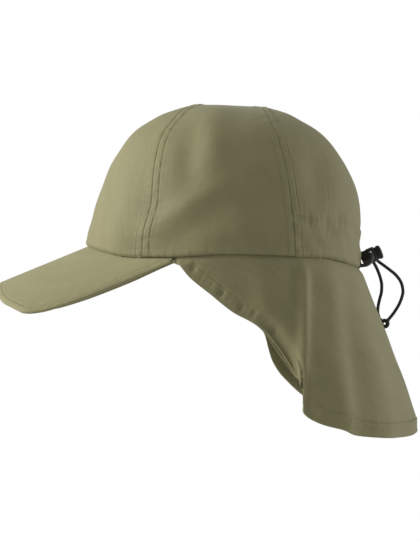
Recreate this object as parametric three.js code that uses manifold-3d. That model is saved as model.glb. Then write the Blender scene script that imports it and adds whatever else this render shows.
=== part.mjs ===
// A sun cap with a curved peak, a three-panel crown, a long neck flap and a drawcord at the back.
// The origin is the middle of the head opening. The peak points to -Y, the wearer's left is +X
// and up is +Z. Lengths are in millimetres.
import * as THREE from "three";
import { mergeVertices } from "three/addons/utils/BufferGeometryUtils.js";
import Module from "manifold-3d";

const { clamp, degToRad, lerp, smoothstep } = THREE.MathUtils;

// Driving dimensions of the crown
const crownHeight = 111.3;
const crownFront = 102;
const crownBack = 101.5;
const crownHalfWidth = 84;
const crownFall = 3.9; // how much lower the crown sits at its back reach than at the middle
const crownWall = 1.6;
const seamWidth = 7; // from the seam to the outer row of its topstitching
const seamRise = 0.5; // the extra cloth under the topstitching
const seamFall = 1.5; // from that row to where the cloth is flat again
const casingHeight = 28; // the drawcord's casing, above the crown's back edge
const casingRise = 0.4;
const casingFall = 3; // to either side of the casing's upper stitch line
const seamGap = 0.3;
const edgeGap = 0.35; // between the crown's lower edge and what is sewn under it

// Driving dimensions of the peak
const peakReach = 64; // beyond the crown's front
const peakHalfWidth = 78;
const peakThickness = 3;
const peakArch = 100; // radius of the arch from side to side
const peakPitch = 0.42; // fall for each millimetre forward
const peakEndPlace = -38; // where the peak's ends stop, along Y

// Driving dimensions of the neck flap
const flapThickness = 1.5;
const flapStart = -34.5; // where the flap's front corners are sewn, along Y
const flapHalfWidth = 88;
const flapReach = 145;
const flapDrop = 129.5;
const flapFullness = 1; // outward belly halfway down

// Driving dimensions of the cord lock and the drawcord
const lockTilt = degToRad(22);
const lockPlace = new THREE.Vector3(0, crownBack, -2.4);
const lockRadius = 5.7;
const lockWall = 0.7;
const lockLength = 11;
const lockFloor = 0.9;
const lockDent = 2; // how far the lock presses into the crown's back
const lockDentWidth = 6.5;
const lockDentHeight = 1.3;
const plungerGap = 0.3;
const plungerTravel = 1.6;
const plungerBase = 3.4; // the plunger's ring below its slot
const buttonLength = 5; // how far the plunger stands out of the lock
const buttonRadius = 5.2;
const cordDiameter = 2.4;
const cordGap = 0.3;
const knotRadius = 2.35;
const knotCord = 1.4;
const knotPlace = new THREE.Vector3(-15, 119.7, -50.4);

// Sections of the crown, top first: the height as a share of crownHeight, and the reach there as
// shares of crownFront, crownBack and crownHalfWidth. The top is a ridge that runs fore and aft.
const crownSections = byDepth([
  { height: 1, front: 0.2, back: 0.26, side: 0 },
  { height: 0.99, front: 0.235, back: 0.345, side: 0.2 },
  { height: 0.96, front: 0.345, back: 0.465, side: 0.375 },
  { height: 0.92, front: 0.463, back: 0.552, side: 0.505 },
  { height: 0.86, front: 0.572, back: 0.665, side: 0.63 },
  { height: 0.78, front: 0.675, back: 0.765, side: 0.74 },
  { height: 0.69, front: 0.75, back: 0.842, side: 0.82 },
  { height: 0.59, front: 0.812, back: 0.902, side: 0.885 },
  { height: 0.47, front: 0.869, back: 0.958, side: 0.935 },
  { height: 0.35, front: 0.915, back: 0.988, side: 0.968 },
  { height: 0.2, front: 0.963, back: 0.99, side: 0.99 },
  { height: 0.12, front: 0.988, back: 0.984, side: 1 },
  { height: 0.04, front: 1.002, back: 0.996, side: 1 },
  { height: 0, front: 1.002, back: 0.993, side: 1 },
]);

// The two seams that cross the crown from ear to ear, top first: heights as shares of
// crownHeight, places as shares of crownFront and crownBack.
const frontSeam = byDepth([
  { height: 1, reach: 0.2 },
  { height: 0.996, reach: 0.205 },
  { height: 0.98, reach: 0.236 },
  { height: 0.94, reach: 0.305 },
  { height: 0.875, reach: 0.36 },
  { height: 0.79, reach: 0.425 },
  { height: 0.7, reach: 0.463 },
  { height: 0.6, reach: 0.484 },
  { height: 0.5, reach: 0.498 },
  { height: 0.31, reach: 0.515 },
  { height: 0.2, reach: 0.54 },
  { height: 0.09, reach: 0.566 },
  { height: 0, reach: 0.575 },
]);
const backSeam = byDepth([
  { height: 1, reach: 0.26 },
  { height: 0.996, reach: 0.262 },
  { height: 0.98, reach: 0.275 },
  { height: 0.93, reach: 0.302 },
  { height: 0.86, reach: 0.336 },
  { height: 0.78, reach: 0.37 },
  { height: 0.7, reach: 0.395 },
  { height: 0.62, reach: 0.418 },
  { height: 0.53, reach: 0.436 },
  { height: 0.39, reach: 0.457 },
  { height: 0.2, reach: 0.478 },
  { height: 0, reach: 0.49 },
]);

// The crown's lower edge from front to back: places as shares of crownFront or crownBack,
// heights as shares of crownHeight.
const crownEdge = [
  { place: -1, height: 0.069 },
  { place: -0.91, height: 0.04 },
  { place: -0.8, height: 0.014 },
  { place: -0.7, height: -0.005 },
  { place: -0.57, height: -0.012 },
  { place: -0.37, height: -0.013 },
  { place: -0.07, height: 0.004 },
  { place: 0.1, height: 0.004 },
  { place: 0.45, height: -0.005 },
  { place: 0.66, height: -0.014 },
  { place: 0.74, height: -0.019 },
  { place: 0.85, height: -0.041 },
  { place: 0.94, height: -0.066 },
  { place: 1, height: -0.082 },
];

// Soft dents of the crown's sides, deepest at the middle: places as shares of crownFront or
// crownBack, heights, lengths and widths as shares of crownHeight, the turn of the long way
// from upright in degrees, and the depth as a share of crownHalfWidth.
const crownDents = [
  { place: -0.36, height: 0.6, long: 0.16, wide: 0.06, turn: 8, depth: 0.014 },
  { place: -0.22, height: 0.72, long: 0.3, wide: 0.06, turn: -4, depth: -0.012 },
  { place: -0.36, height: 0.36, long: 0.3, wide: 0.06, turn: -62, depth: -0.012 },
  { place: -0.3, height: 0.22, long: 0.34, wide: 0.07, turn: -60, depth: 0.014 },
  { place: 0.2, height: 0.5, long: 0.3, wide: 0.14, turn: 12, depth: 0.008 },
  { place: 0.75, height: 0.52, long: 0.26, wide: 0.08, turn: 6, depth: 0.014 },
  { place: 0.58, height: 0.46, long: 0.18, wide: 0.07, turn: 10, depth: -0.01 },
];

// The peak's outline from the middle of its front to its end: the half width as a share of
// peakHalfWidth, and the place as a share of peakReach in front of the crown's front.
const peakOutline = [
  { width: 0, reach: 1 },
  { width: 0.24, reach: 0.995 },
  { width: 0.45, reach: 0.975 },
  { width: 0.57, reach: 0.94 },
  { width: 0.68, reach: 0.885 },
  { width: 0.77, reach: 0.8 },
  { width: 0.85, reach: 0.71 },
  { width: 0.91, reach: 0.62 },
  { width: 0.95, reach: 0.48 },
  { width: 0.975, reach: 0.3 },
  { width: 0.995, reach: -0.1 },
  { width: 1, reach: -0.55 },
];

// The flap's free edge from its right front corner, round the back, to its left front corner:
// the turn as a share of the way from the back to a front corner, and the place as shares of
// flapHalfWidth, flapReach and flapDrop. The left lower corner is folded in.
const flapHem = [
  { around: -1, side: -0.9, back: -0.236, drop: 0.03 },
  { around: -0.985, side: -0.905, back: -0.21, drop: 0.07 },
  { around: -0.953, side: -0.91, back: -0.167, drop: 0.127 },
  { around: -0.885, side: -0.91, back: -0.076, drop: 0.206 },
  { around: -0.807, side: -0.91, back: 0.028, drop: 0.299 },
  { around: -0.729, side: -0.915, back: 0.132, drop: 0.364 },
  { around: -0.68, side: -0.93, back: 0.208, drop: 0.442 },
  { around: -0.64, side: -0.95, back: 0.234, drop: 0.535 },
  { around: -0.6, side: -0.965, back: 0.259, drop: 0.619 },
  { around: -0.56, side: -0.98, back: 0.3, drop: 0.692 },
  { around: -0.52, side: -0.99, back: 0.357, drop: 0.757 },
  { around: -0.48, side: -0.985, back: 0.417, drop: 0.817 },
  { around: -0.44, side: -0.965, back: 0.49, drop: 0.885 },
  { around: -0.39, side: -0.92, back: 0.57, drop: 0.94 },
  { around: -0.33, side: -0.85, back: 0.65, drop: 0.972 },
  { around: -0.26, side: -0.735, back: 0.765, drop: 0.99 },
  { around: -0.18, side: -0.56, back: 0.865, drop: 0.999 },
  { around: -0.09, side: -0.29, back: 0.955, drop: 1 },
  { around: 0, side: 0, back: 1, drop: 0.985 },
  { around: 0.09, side: 0.29, back: 0.955, drop: 1 },
  { around: 0.18, side: 0.56, back: 0.865, drop: 0.999 },
  { around: 0.26, side: 0.735, back: 0.765, drop: 0.99 },
  { around: 0.33, side: 0.85, back: 0.65, drop: 0.972 },
  { around: 0.39, side: 0.92, back: 0.57, drop: 0.94 },
  { around: 0.44, side: 0.965, back: 0.468, drop: 0.908 },
  { around: 0.475, side: 0.99, back: 0.402, drop: 0.867 },
  { around: 0.5, side: 1.005, back: 0.38, drop: 0.82 },
  { around: 0.52, side: 0.995, back: 0.366, drop: 0.755 },
  { around: 0.54, side: 0.95, back: 0.368, drop: 0.7 },
  { around: 0.565, side: 0.895, back: 0.355, drop: 0.65 },
  { around: 0.6, side: 0.885, back: 0.298, drop: 0.56 },
  { around: 0.667, side: 0.89, back: 0.21, drop: 0.435 },
  { around: 0.729, side: 0.905, back: 0.132, drop: 0.364 },
  { around: 0.807, side: 0.91, back: 0.028, drop: 0.299 },
  { around: 0.885, side: 0.91, back: -0.076, drop: 0.206 },
  { around: 0.953, side: 0.91, back: -0.167, drop: 0.127 },
  { around: 0.985, side: 0.905, back: -0.21, drop: 0.07 },
  { around: 1, side: 0.9, back: -0.236, drop: 0.03 },
];

// Upright folds of the flap: the turn, the half width as a share of the turn, and the rise at
// the top and at the hem as shares of flapHalfWidth. A rise below 0 is a valley.
const flapFolds = [
  { around: -0.75, wide: 0.05, top: 0, hem: 0.02 },
  { around: -0.42, wide: 0.045, top: 0.004, hem: 0.028 },
  { around: -0.24, wide: 0.05, top: 0, hem: -0.02 },
  { around: 0.14, wide: 0.05, top: 0, hem: -0.018 },
  { around: 0.31, wide: 0.05, top: -0.004, hem: -0.022 },
  { around: 0.47, wide: 0.035, top: 0.016, hem: 0.012 },
  { around: 0.56, wide: 0.03, top: -0.014, hem: -0.012 },
  { around: 0.68, wide: 0.05, top: 0.006, hem: 0.022 },
];

// The two strands of the drawcord, from inside the back buttonhole, through the cord lock and
// down to the knot. The points are chosen by hand along the cord's hang.
const strandLeft = [
  [15.2, 99.6, -7],
  [15.2, 102.2, -6.8],
  [15.2, 104.8, -5.7],
  [14.8, 106.7, -3.8],
  [13.4, 107.8, -1.2],
  [11.2, 108.1, 0.8],
  [8.4, 108.13, 1.72],
  [4, 108.13, 1.73],
  [-4, 108.13, 1.73],
  [-8.4, 108.13, 1.72],
  [-11.6, 108.8, 0.8],
  [-13.6, 110.6, -0.6],
  [-14.6, 113, -2.3],
  [-14.9, 115.6, -4.4],
  [-15, 118.9, -6.8],
  [-15, 123.7, -10.4],
  [-15, 128.1, -14.1],
  [-15, 131.9, -19.4],
  [-15, 133.4, -25.8],
  [-15, 132.6, -30.6],
  [-15, 130.4, -36.2],
  [-15, 126.7, -42.2],
  [-15, 122.5, -47.45],
];
const strandRight = [
  [12.5, 99.7, -7.2],
  [12.5, 102.4, -7.1],
  [12.5, 105.1, -6.3],
  [12.1, 107.1, -4.8],
  [10.8, 108.6, -2.5],
  [8.4, 109.15, -0.83],
  [4, 109.15, -0.77],
  [-4, 109.15, -0.77],
  [-8.4, 109.15, -0.83],
  [-10.9, 110.1, -2.9],
  [-11.8, 111.5, -5.2],
  [-12.2, 113.2, -8.2],
  [-12.6, 114.8, -11.8],
  [-13, 116.4, -16.4],
  [-13.6, 117.4, -21.2],
  [-14.2, 117.2, -27.2],
  [-14.6, 116, -32],
  [-14.9, 114.9, -37.2],
  [-15, 114.6, -42],
  [-15, 115.5, -45.6],
  [-15, 116.35, -47.55],
];

// Adds to each row its depth below the top, in which the tables run smoothly.
function byDepth(rows) {
  return rows.map((row) => ({ ...row, depth: Math.sqrt(1 - row.height) }));
}

// The smooth value of a table's column at a place along another column.
function smoothValue(rows, along, column, at) {
  const last = rows.length - 1;
  const place = clamp(at, rows[0][along], rows[last][along]);
  let i = 0;
  while (i < last - 1 && rows[i + 1][along] < place) i++;
  const slope = (k) => {
    const low = rows[Math.max(k - 1, 0)];
    const high = rows[Math.min(k + 1, last)];
    return (high[column] - low[column]) / (high[along] - low[along]);
  };
  const span = rows[i + 1][along] - rows[i][along];
  const t = (place - rows[i][along]) / span;
  const bend = t * t * (3 - 2 * t);
  const leave = slope(i) * span * t * (1 - t) * (1 - t);
  const arrive = slope(i + 1) * span * t * t * (t - 1);
  return rows[i][column] * (1 - bend) + rows[i + 1][column] * bend + leave + arrive;
}

// The crown as a surface: its reach at a height, with the sizes made smaller by an inset.
const crownTilt = crownFall / crownBack;
const hub = new THREE.Vector3(0, 0, 0.18 * crownHeight);

function crownReach(share, inset) {
  const depth = Math.sqrt(1 - clamp(share, 0, 1));
  const value = (column) => smoothValue(crownSections, "depth", column, depth);
  return {
    front: (crownFront - inset) * value("front"),
    back: (crownBack - inset) * value("back"),
    side: (crownHalfWidth - inset) * value("side"),
  };
}

function insideCrown(p, inset) {
  const share = (p.z + crownTilt * p.y) / (crownHeight - inset);
  if (share > 1) return false;
  const reach = crownReach(share, inset);
  const fore = p.y < 0 ? reach.front : reach.back;
  return (p.x / reach.side) ** 2 + (p.y / fore) ** 2 < 1;
}

// How far a dent pushes the crown's wall in, seen from the side.
function dentDepth(p) {
  let depth = 0;
  for (const dent of crownDents) {
    const ahead = p.y - dent.place * (dent.place < 0 ? crownFront : crownBack);
    const above = p.z - dent.height * crownHeight;
    const turn = degToRad(dent.turn);
    const along = (above * Math.cos(turn) + ahead * Math.sin(turn)) / (dent.long * crownHeight);
    const across = (ahead * Math.cos(turn) - above * Math.sin(turn)) / (dent.wide * crownHeight);
    depth += dent.depth * Math.exp(-along * along - across * across);
  }
  return depth * Math.abs(p.x) + (p.y > 0 ? lockPress(p) : 0);
}

// How far the cord lock presses the cloth in at the crown's back.
function lockPress(p) {
  const away = Math.hypot(p.x, p.z - lockDentHeight) / lockDentWidth;
  return lockDent * Math.exp(-away * away);
}

// The point of the crown's surface that lies in the direction of a point, seen from the hub.
const halvings = 44; // of the way out, until the surface is met

function onCrown(toward, inset) {
  const way = toward.clone().sub(hub).normalize();
  let near = 0;
  let far = 2 * (crownFront + crownHeight);
  const point = new THREE.Vector3();
  for (let step = 0; step < halvings; step++) {
    const middle = (near + far) / 2;
    point.copy(hub).addScaledVector(way, middle);
    if (insideCrown(point, inset)) near = middle;
    else far = middle;
  }
  return point.copy(hub).addScaledVector(way, near);
}

// The crown's lower edge at a turn from the front, where 1 is the back.
function edgePoint(turn) {
  const angle = turn * Math.PI;
  const fore = Math.abs(turn) < 0.5 ? crownFront : crownBack;
  const reach = crownReach(0, 0);
  const y = -Math.cos(angle) * (Math.abs(turn) < 0.5 ? reach.front : reach.back);
  const height = smoothValue(crownEdge, "place", "height", y / fore);
  return new THREE.Vector3(reach.side * Math.sin(angle), y, height * crownHeight);
}

// The turn at which the lower edge lies at a place along Y.
function turnAt(y) {
  const reach = crownReach(0, 0);
  return Math.acos(y < 0 ? -y / reach.front : -y / reach.back) / Math.PI;
}

// A seam as a row of points from the right ear over the top to the left ear, set off to one
// side by half of the gap between the panels.
const seamSteps = 26;
const seamStride = 0.02; // the share of a seam to either side that gives its direction

function seamPoint(seam, facing, share) {
  const fore = facing < 0 ? crownFront : crownBack;
  const foot = facing * seam[seam.length - 1].reach * fore;
  const edge = edgePoint(turnAt(foot));
  const lowest = (edge.z + crownTilt * foot) / crownHeight;
  const depth = Math.abs(share) * Math.sqrt(1 - lowest);
  const height = 1 - depth * depth;
  const y = facing * fore * smoothValue(seam, "depth", "reach", depth);
  const reach = crownReach(height, 0);
  const across = 1 - (y / (facing < 0 ? reach.front : reach.back)) ** 2;
  const x = Math.sign(share) * reach.side * Math.sqrt(Math.max(across, 0));
  return new THREE.Vector3(x, y, height * crownHeight - crownTilt * y);
}

function seamLine(seam, facing, offset) {
  const points = [];
  for (let i = 0; i <= seamSteps; i++) {
    const share = (2 * i) / seamSteps - 1;
    const here = seamPoint(seam, facing, share);
    const before = seamPoint(seam, facing, Math.max(share - seamStride, -1));
    const after = seamPoint(seam, facing, Math.min(share + seamStride, 1));
    const outward = here.clone().sub(hub);
    const across = outward.cross(after.sub(before)).normalize();
    points.push(here.addScaledVector(across, offset));
  }
  return points;
}

// One closed wall between an outer and an inner grid of points, with rims all round.
function closedShell(outer, inner) {
  const rows = outer.length - 1;
  const columns = outer[0].length - 1;
  const corners = [];
  const quad = (a, b, c, d) => corners.push(a, b, c, a, c, d);
  for (let i = 0; i < rows; i++) {
    for (let j = 0; j < columns; j++) {
      quad(outer[i][j], outer[i + 1][j], outer[i + 1][j + 1], outer[i][j + 1]);
      quad(inner[i][j], inner[i][j + 1], inner[i + 1][j + 1], inner[i + 1][j]);
    }
    quad(outer[i + 1][0], outer[i][0], inner[i][0], inner[i + 1][0]);
    quad(outer[i][columns], outer[i + 1][columns], inner[i + 1][columns], inner[i][columns]);
  }
  for (let j = 0; j < columns; j++) {
    quad(outer[0][j], outer[0][j + 1], inner[0][j + 1], inner[0][j]);
    quad(outer[rows][j + 1], outer[rows][j], inner[rows][j], inner[rows][j + 1]);
  }
  return weld(corners);
}

// Joins corners that coincide and drops the triangles that have no area left.
function weld(corners) {
  const loose = new THREE.BufferGeometry().setFromPoints(corners);
  const joined = mergeVertices(loose, 1e-3);
  const index = joined.index.array;
  const kept = [];
  for (let i = 0; i < index.length; i += 3) {
    const [a, b, c] = [index[i], index[i + 1], index[i + 2]];
    if (a !== b && b !== c && c !== a) kept.push(a, b, c);
  }
  if (signedVolume(joined, kept) < 0) kept.reverse();
  joined.setIndex(kept);
  return joined;
}

// Six times the volume, below 0 where the faces point inwards.
function signedVolume(geometry, index) {
  const position = geometry.attributes.position;
  const [a, b, c] = [new THREE.Vector3(), new THREE.Vector3(), new THREE.Vector3()];
  let volume = 0;
  for (let i = 0; i < index.length; i += 3) {
    a.fromBufferAttribute(position, index[i]);
    b.fromBufferAttribute(position, index[i + 1]);
    c.fromBufferAttribute(position, index[i + 2]);
    volume += a.dot(b.cross(c));
  }
  return volume;
}

// A second grid behind the first, along the grid's own normals. The depth is a function of how
// far along the grid a row lies, and the way out of a point says which side is the front.
function behind(grid, depth, wayOut) {
  const rows = grid.length - 1;
  const columns = grid[0].length - 1;
  return grid.map((row, i) =>
    row.map((point, j) => {
      const down = grid[Math.min(i + 1, rows)][j].clone().sub(grid[Math.max(i - 1, 0)][j]);
      const along = row[Math.min(j + 1, columns)].clone().sub(row[Math.max(j - 1, 0)]);
      const normal = down.cross(along).normalize();
      const side = Math.sign(normal.dot(wayOut(point)));
      return point.clone().addScaledVector(normal, -side * depth(i / rows));
    }),
  );
}

// A crown panel from two rows of points, with the rise of the outer cloth in each column.
function crownPanel(fromLine, toLine, columns) {
  const outer = [];
  const inner = [];
  fromLine.forEach((from, i) => {
    const length = from.distanceTo(toLine[i]);
    const outerRow = [];
    const innerRow = [];
    for (const column of columns) {
      const toward = from.clone().lerp(toLine[i], column.share(length));
      const dent = dentDepth(onCrown(toward, 0));
      outerRow.push(onCrown(toward, dent - column.rise(length)));
      innerRow.push(onCrown(toward, crownWall + dent));
    }
    outer.push(outerRow);
    inner.push(innerRow);
  });
  return closedShell(outer, inner);
}

const evenColumns = (count, from, to) =>
  Array.from({ length: count }, (_, k) => ({
    share: () => from + ((to - from) * k) / (count - 1),
    rise: () => 0,
  }));

// The columns beside a seam. Where a row is short, they keep to a share of it.
const seamColumns = [
  { share: () => 0, rise: () => seamRise },
  { share: (length) => Math.min(seamWidth / length, 0.12), rise: () => seamRise },
  { share: (length) => Math.min((seamWidth + seamFall) / length, 0.15), rise: () => 0 },
];

// The three panels of the crown
function edgeLine(fromTurn, toTurn, ends) {
  const points = [];
  for (let i = 0; i <= seamSteps; i++) {
    points.push(edgePoint(fromTurn + ((toTurn - fromTurn) * i) / seamSteps));
  }
  points[0] = ends[0];
  points[seamSteps] = ends[seamSteps];
  return points;
}

function frontPanel() {
  const seam = seamLine(frontSeam, -1, -seamGap / 2);
  const turn = turnAt(-frontSeam[frontSeam.length - 1].reach * crownFront);
  const edge = edgeLine(-turn, turn, seam);
  return crownPanel(seam, edge, [...seamColumns, ...evenColumns(9, 0.25, 1)]);
}

function middlePanel() {
  const front = seamLine(frontSeam, -1, seamGap / 2);
  const back = seamLine(backSeam, 1, -seamGap / 2);
  const mirrored = seamColumns.map(({ share, rise }) => ({
    share: (length) => 1 - share(length),
    rise,
  }));
  const columns = [...seamColumns, ...evenColumns(6, 0.24, 0.76), ...mirrored.reverse()];
  const outer = [];
  const inner = [];
  front.forEach((from, i) => {
    const side = (2 * i) / seamSteps - 1;
    const fade = Math.max(0, (Math.abs(side) - 0.5) / 0.5);
    const end = side < 0 ? 0 : seamSteps;
    const turns = [front[end], back[end]].map((foot) => Math.sign(side) * turnAt(foot.y));
    const outerRow = [];
    const innerRow = [];
    for (const column of columns) {
      const length = from.distanceTo(back[i]);
      const share = column.share(length);
      const toward = from.clone().lerp(back[i], share);
      if (fade > 0) {
        const straight = front[end].clone().lerp(back[end], share);
        const edge = edgePoint(turns[0] + (turns[1] - turns[0]) * share);
        toward.addScaledVector(edge.sub(straight), fade);
      }
      const dent = dentDepth(onCrown(toward, 0));
      outerRow.push(onCrown(toward, dent - column.rise(length)));
      innerRow.push(onCrown(toward, crownWall + dent));
    }
    outer.push(outerRow);
    inner.push(innerRow);
  });
  return closedShell(outer, inner);
}

function backPanel() {
  const seam = seamLine(backSeam, 1, seamGap / 2);
  const turn = turnAt(backSeam[backSeam.length - 1].reach * crownBack);
  const edge = edgeLine(-turn, turn - 2, seam);
  const above = (height, least) => (length) => Math.max(least, 1 - height / length);
  const deep = (length) => casingRise * smoothstep(length, casingHeight, 2 * casingHeight);
  const columns = [
    ...seamColumns,
    ...evenColumns(5, 0.25, 0.66),
    { share: above(casingHeight + casingFall, 0.7), rise: () => 0 },
    { share: above(casingHeight, 0.74), rise: (length) => -deep(length) },
    { share: above(casingHeight - casingFall, 0.78), rise: deep },
    { share: () => 0.9, rise: deep },
    { share: () => 1, rise: deep },
  ];
  const wall = solid(crownPanel(seam, edge, columns));
  return geometryOf(wall.subtract(buttonhole()));
}

// The opening through which both strands leave the back panel, at its lower edge.
function buttonhole() {
  const [left, right] = [strandLeft[0], strandRight[0]];
  const room = cordDiameter + 2 * cordGap;
  const through = 8 * crownWall;
  const tall = 3 * cordDiameter;
  const hole = new THREE.BoxGeometry(left[0] - right[0] + room, through, tall);
  hole.translate((left[0] + right[0]) / 2, left[1], left[2] + (room - tall) / 2);
  return solid(hole);
}

// The peak: a plate that leaves the crown's lower edge and ends in its outline.
function peak() {
  const inner = 1 - crownWall / crownHalfWidth;
  const endTurn = turnAt(peakEndPlace);
  const outline = new THREE.SplineCurve(
    [...peakOutline.slice(1).reverse().map((row) => [-row.width, row.reach])]
      .concat(peakOutline.map((row) => [row.width, row.reach]))
      .map(([width, reach]) => {
        const last = reach < -0.5 ? peakEndPlace : -crownFront - reach * peakReach;
        return new THREE.Vector2(width * peakHalfWidth, last);
      }),
  );
  const steps = 32;
  const across = [0, 0.12, 0.3, 0.5, 0.7, 0.86, 0.96, 1]; // from the crown to the rim
  const drop = (x) => peakArch - Math.sqrt(peakArch ** 2 - x * x);
  const frontEdge = edgePoint(0).z - edgeGap;
  const height = (x, y) => frontEdge + peakPitch * (y + crownFront) - drop(x);
  const rim = outline.getSpacedPoints(steps);
  const grid = rim.map((end, i) => {
    const edge = edgePoint(endTurn * ((2 * i) / steps - 1));
    const start = new THREE.Vector3(edge.x * inner, edge.y * inner, edge.z - edgeGap);
    const lift = start.z - height(start.x, start.y);
    const fade = 1 - ((2 * i) / steps - 1) ** 6;
    return across.map((share) => {
      const x = lerp(start.x, end.x, share);
      const y = lerp(start.y, end.y, share);
      return new THREE.Vector3(x, y, height(x, y) + lift * (1 - share * fade));
    });
  });
  const thickness = (share) => peakThickness * (1 - 0.5 * (2 * share - 1) ** 8);
  return closedShell(grid, behind(grid, thickness, () => new THREE.Vector3(0, 0, 1)));
}

// The neck flap: a sheet from the crown's lower edge to its hem, fuller lower down.
const stationStep = 0.036; // the widest step round the flap
const flapDowns = [0, 0.06, 0.16, 0.28, 0.4, 0.52, 0.64, 0.76, 0.87, 0.94, 1];

function flapStations() {
  const stations = [flapHem[0].around];
  for (let i = 1; i < flapHem.length; i++) {
    const [from, to] = [flapHem[i - 1].around, flapHem[i].around];
    const pieces = Math.ceil((to - from) / stationStep);
    for (let k = 1; k <= pieces; k++) stations.push(from + ((to - from) * k) / pieces);
  }
  return stations;
}

function neckFlap() {
  const startTurn = turnAt(flapStart);
  const grid = flapStations().map((around) => {
    const turn = around < 0 ? -1 - around * (1 - startTurn) : 1 - around * (1 - startTurn);
    const top = edgePoint(turn);
    top.z -= edgeGap;
    const value = (column) => smoothValue(flapHem, "around", column, around);
    const hem = new THREE.Vector3(
      value("side") * flapHalfWidth,
      value("back") * flapReach,
      -value("drop") * flapDrop,
    );
    const outward = new THREE.Vector3(top.x, top.y, 0).normalize();
    return flapDowns.map((down) => {
      let rise = flapFullness * Math.sin(Math.PI * down) * Math.min(1, (1 - Math.abs(around)) * 4);
      for (const fold of flapFolds) {
        const across = (around - fold.around) / fold.wide;
        const deep = lerp(fold.top, fold.hem, down) * Math.min(1, down * 6);
        rise += flapHalfWidth * deep * Math.exp(-across * across);
      }
      return top.clone().lerp(hem, down).addScaledVector(outward, rise);
    });
  });
  return closedShell(grid, behind(grid, () => flapThickness, (p) => new THREE.Vector3(p.x, p.y, 0)));
}

// Solids for the cuts
const wasm = await Module();
wasm.setup();

function solid(geometry) {
  const bare = geometry.clone();
  bare.deleteAttribute("normal");
  bare.deleteAttribute("uv");
  const merged = mergeVertices(bare, 1e-4);
  return new wasm.Manifold(
    new wasm.Mesh({
      numProp: 3,
      vertProperties: merged.attributes.position.array,
      triVerts: new Uint32Array(merged.index.array),
    }),
  );
}

function geometryOf(manifold) {
  const mesh = manifold.getMesh();
  const position = new THREE.BufferAttribute(mesh.vertProperties, 3);
  return new THREE.BufferGeometry()
    .setAttribute("position", position)
    .setIndex(new THREE.BufferAttribute(mesh.triVerts, 1));
}

// The cord lock, along its own Y axis: a barrel closed towards the crown, and a plunger in it
// whose slot holds the cord and leaves the plunger room to travel.
const lockSides = 16;
const slotStart = lockFloor + plungerTravel + cordGap + plungerBase;
const slotWidth = cordDiameter + 2 * cordGap;
const strandPitch = cordDiameter + cordGap;
const slotHeight = strandPitch + slotWidth;

function turned(profile) {
  return new THREE.LatheGeometry(
    profile.map(([radius, along]) => new THREE.Vector2(radius, along)),
    lockSides,
  );
}

function slot(from, to) {
  const box = new THREE.BoxGeometry(4 * lockRadius, to - from, slotHeight);
  box.translate(0, (from + to) / 2, 0);
  return solid(box);
}

function lockBody() {
  const bore = lockRadius - lockWall;
  const barrel = turned([
    [0, 0],
    [0.7 * lockRadius, 0],
    [0.92 * lockRadius, 0.12 * lockLength],
    [lockRadius, 0.35 * lockLength],
    [lockRadius, 0.94 * lockLength],
    [lockRadius - 0.5 * lockWall, lockLength],
    [bore, lockLength],
    [bore, lockFloor],
    [0, lockFloor],
  ]);
  return geometryOf(solid(barrel).subtract(slot(slotStart, slotStart + slotWidth)));
}

function plunger() {
  const radius = lockRadius - lockWall - plungerGap;
  const top = lockLength + buttonLength;
  const pin = turned([
    [0, slotStart - plungerBase],
    [radius, slotStart - plungerBase],
    [radius, lockLength + plungerTravel + plungerGap],
    [buttonRadius, lockLength + plungerTravel + plungerGap],
    [buttonRadius, top - 0.28 * buttonLength],
    [0.86 * buttonRadius, top - 0.12 * buttonLength],
    [0.5 * buttonRadius, top - 0.02 * buttonLength],
    [0, top],
  ]);
  return geometryOf(solid(pin).subtract(slot(slotStart, slotStart + slotWidth + plungerTravel)));
}

// A strand of cord along its points, and the knot that joins the two.
function strand(points, steps) {
  const section = new THREE.Shape();
  const sides = 8;
  for (let k = 0; k < sides; k++) {
    const angle = (2 * Math.PI * k) / sides;
    const [x, y] = [Math.cos(angle), Math.sin(angle)].map((v) => (v * cordDiameter) / 2);
    if (k === 0) section.moveTo(x, y);
    else section.lineTo(x, y);
  }
  section.closePath();
  const path = new THREE.CatmullRomCurve3(points.map((p) => new THREE.Vector3(...p)));
  return new THREE.ExtrudeGeometry(section, { steps, bevelEnabled: false, extrudePath: path });
}

// Materials
const cloth = { color: 0x7a7659, roughness: 0.85, metalness: 0 };
const plastic = { color: 0x17160f, roughness: 0.45, metalness: 0 };
const elastic = { color: 0x2b2720, roughness: 0.8, metalness: 0 };

function piece(name, geometry, finish) {
  const mesh = new THREE.Mesh(geometry, new THREE.MeshStandardMaterial(finish));
  mesh.name = name;
  return mesh;
}

const cap = new THREE.Group();
cap.add(piece("front_panel", frontPanel(), cloth));
cap.add(piece("middle_panel", middlePanel(), cloth));
cap.add(piece("back_panel", backPanel(), cloth));
cap.add(piece("peak", peak(), cloth));
cap.add(piece("neck_flap", neckFlap(), cloth));

const lock = new THREE.Group();
lock.position.copy(lockPlace);
lock.rotation.x = lockTilt;
lock.add(piece("cord_lock_body", lockBody(), plastic));
lock.add(piece("cord_lock_plunger", plunger(), plastic));
cap.add(lock);

cap.add(piece("drawcord_left", strand(strandLeft, 36), elastic));
cap.add(piece("drawcord_right", strand(strandRight, 32), elastic));
const knot = piece("drawcord_knot", new THREE.TorusGeometry(knotRadius, knotCord, 8, 16), elastic);
knot.position.copy(knotPlace);
knot.rotation.y = Math.PI / 2;
cap.add(knot);

export default cap;
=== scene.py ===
"""The looks of a sun cap with a long neck flap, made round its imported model.

Lengths are in metres. The origin is the middle of the head opening, the peak points to -Y, the
wearer's left is +X and up is +Z.
"""
import math

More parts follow.
